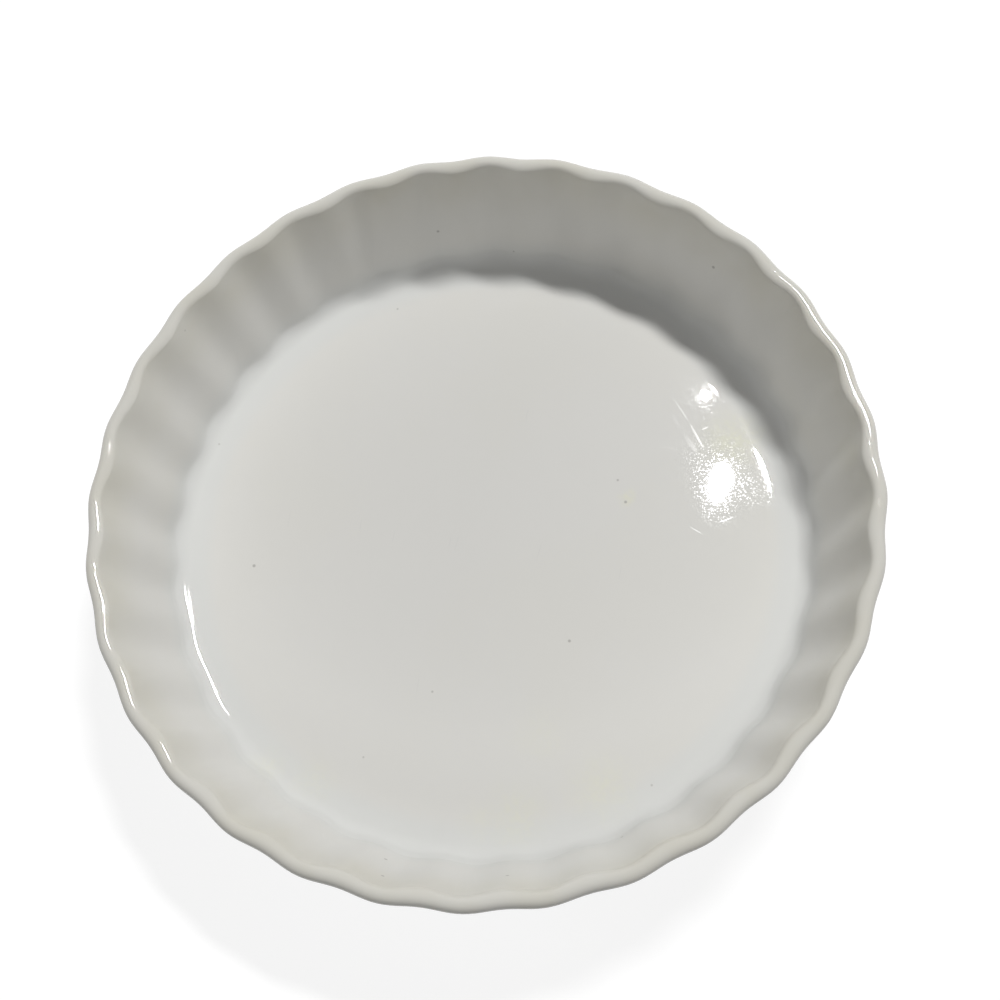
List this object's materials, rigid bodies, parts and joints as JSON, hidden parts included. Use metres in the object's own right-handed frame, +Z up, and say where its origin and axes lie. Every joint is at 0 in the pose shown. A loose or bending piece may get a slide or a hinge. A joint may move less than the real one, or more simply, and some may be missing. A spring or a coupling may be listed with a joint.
{
  "type": "creme brulee dish",
  "caption": "Round shallow baking dish with a flaring fluted wall, rounded lip, flat floor and low bare foot ring, in glazed white porcelain, for baking and serving a set custard.",
  "frame": {"origin": "on the dish's axis, in the plane that the foot ring stands on", "axes": "+Z up along the dish's axis, +X through a hollow of the flutes, +Y through a hollow of the flutes a quarter turn on"},
  "size_m": [0.1268, 0.1268, 0.025],
  "materials": {
    "bare_porcelain": "matt, unglazed, slightly chalky off-white",
    "white_glaze": "gloss white glaze with a faint warm tint, fine utensil scratches and a few pinholes"
  },
  "bodies": {
    "root": {"porcelain_body": "bare_porcelain", "glaze_coat": "white_glaze", "base_glaze": "white_glaze"}
  },
  "joints": []
}
